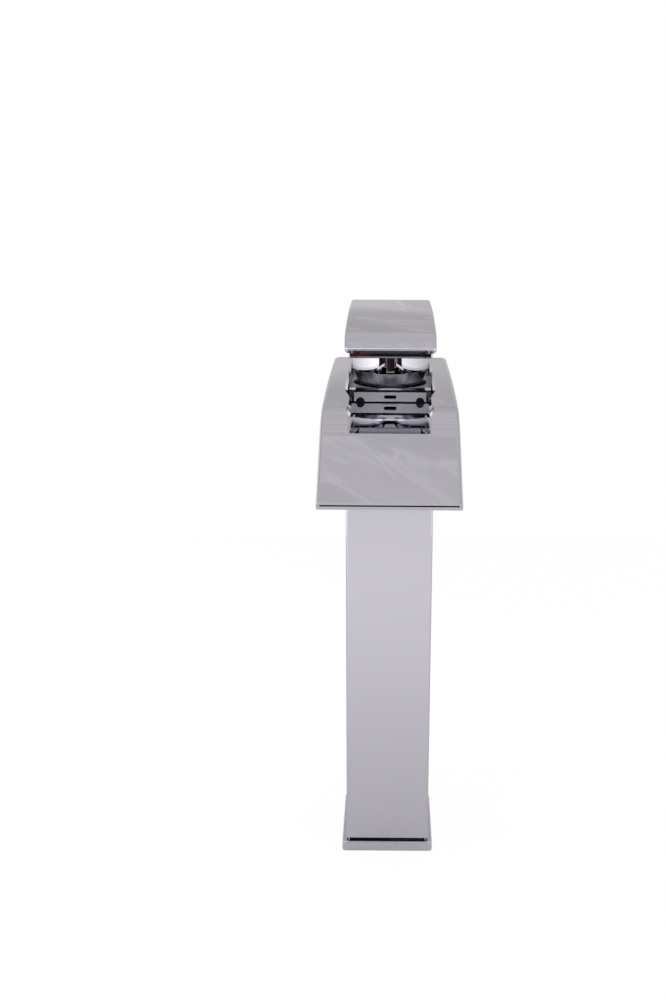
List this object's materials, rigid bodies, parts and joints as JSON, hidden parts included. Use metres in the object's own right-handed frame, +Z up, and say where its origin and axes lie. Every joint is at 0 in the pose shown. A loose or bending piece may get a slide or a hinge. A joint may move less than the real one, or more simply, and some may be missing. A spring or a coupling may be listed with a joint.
{
  "type": "waterfall basin faucet",
  "caption": "Tall square-column basin faucet with an arched hollow waterfall spout, a window over its water outlet, and a flat lever on a round hub.",
  "frame": {"origin": "centre of the square base, on the deck that it stands on", "axes": "+Z up along the column, -Y towards the spout's lip, +X to the right of a user who faces the lip from the front"},
  "size_m": [0.0612, 0.1625, 0.2983],
  "materials": {
    "chrome_plate": "polished mirror chrome",
    "satin_chrome": "fine satin",
    "black_rubber": "matt moulded",
    "cast_brass": "machined casting",
    "copper_tube": "drawn tube",
    "steel_fasteners": "turned stainless",
    "cartridge_plastic": "moulded engineering plastic",
    "disc_ceramic": "lapped ceramic"
  },
  "bodies": {
    "faucet": {"base_flange": "chrome_plate", "base_gasket": "black_rubber", "flange_screws": "steel_fasteners", "inlet_block": "cast_brass", "column_body": "chrome_plate", "hot_riser": "copper_tube", "cold_riser": "copper_tube", "head_block": "cast_brass", "spout_gasket": "black_rubber", "cartridge_base": "cartridge_plastic", "cartridge_seals": "black_rubber", "fixed_disc": "disc_ceramic", "cartridge_housing": "cartridge_plastic", "cartridge_nut": "cast_brass", "bonnet_ring": "chrome_plate", "spout_tray": "chrome_plate", "tray_screws": "steel_fasteners", "spout_cover": "chrome_plate", "cover_screws": "steel_fasteners", "outlet_block": "chrome_plate", "outlet_plate": "satin_chrome"},
    "rotor": {"lever_rotor": "cartridge_plastic", "pivot_pin": "steel_fasteners"},
    "slider": {"moving_disc": "disc_ceramic", "disc_slider": "cartridge_plastic"},
    "lever": {"lever_stem": "cast_brass", "hub_cone": "chrome_plate", "hub_sleeve": "chrome_plate", "lever_block": "chrome_plate", "lever_plate": "chrome_plate", "set_screw": "steel_fasteners", "set_screw_cap": "chrome_plate"}
  },
  "joints": [
    {"name": "lever_turn", "type": "hinge", "parent": "faucet", "child": "rotor", "pos_m": [0, 0, 0.268], "axis": [0, 0, 1], "range_deg": [-45, 45]},
    {"name": "lever_lift", "type": "hinge", "parent": "rotor", "child": "lever", "pos_m": [0, 0, 0.268], "axis": [-1, 0, 0], "range_deg": [0, 20]},
    {"name": "disc_slide", "type": "slide", "parent": "rotor", "child": "slider", "axis": [0, -1, 0], "range_m": [0, 0.0042]}
  ],
  "couplings": [
    {"joint": "disc_slide", "follows": "lever_lift", "m_per_rad": 0.012}
  ]
}
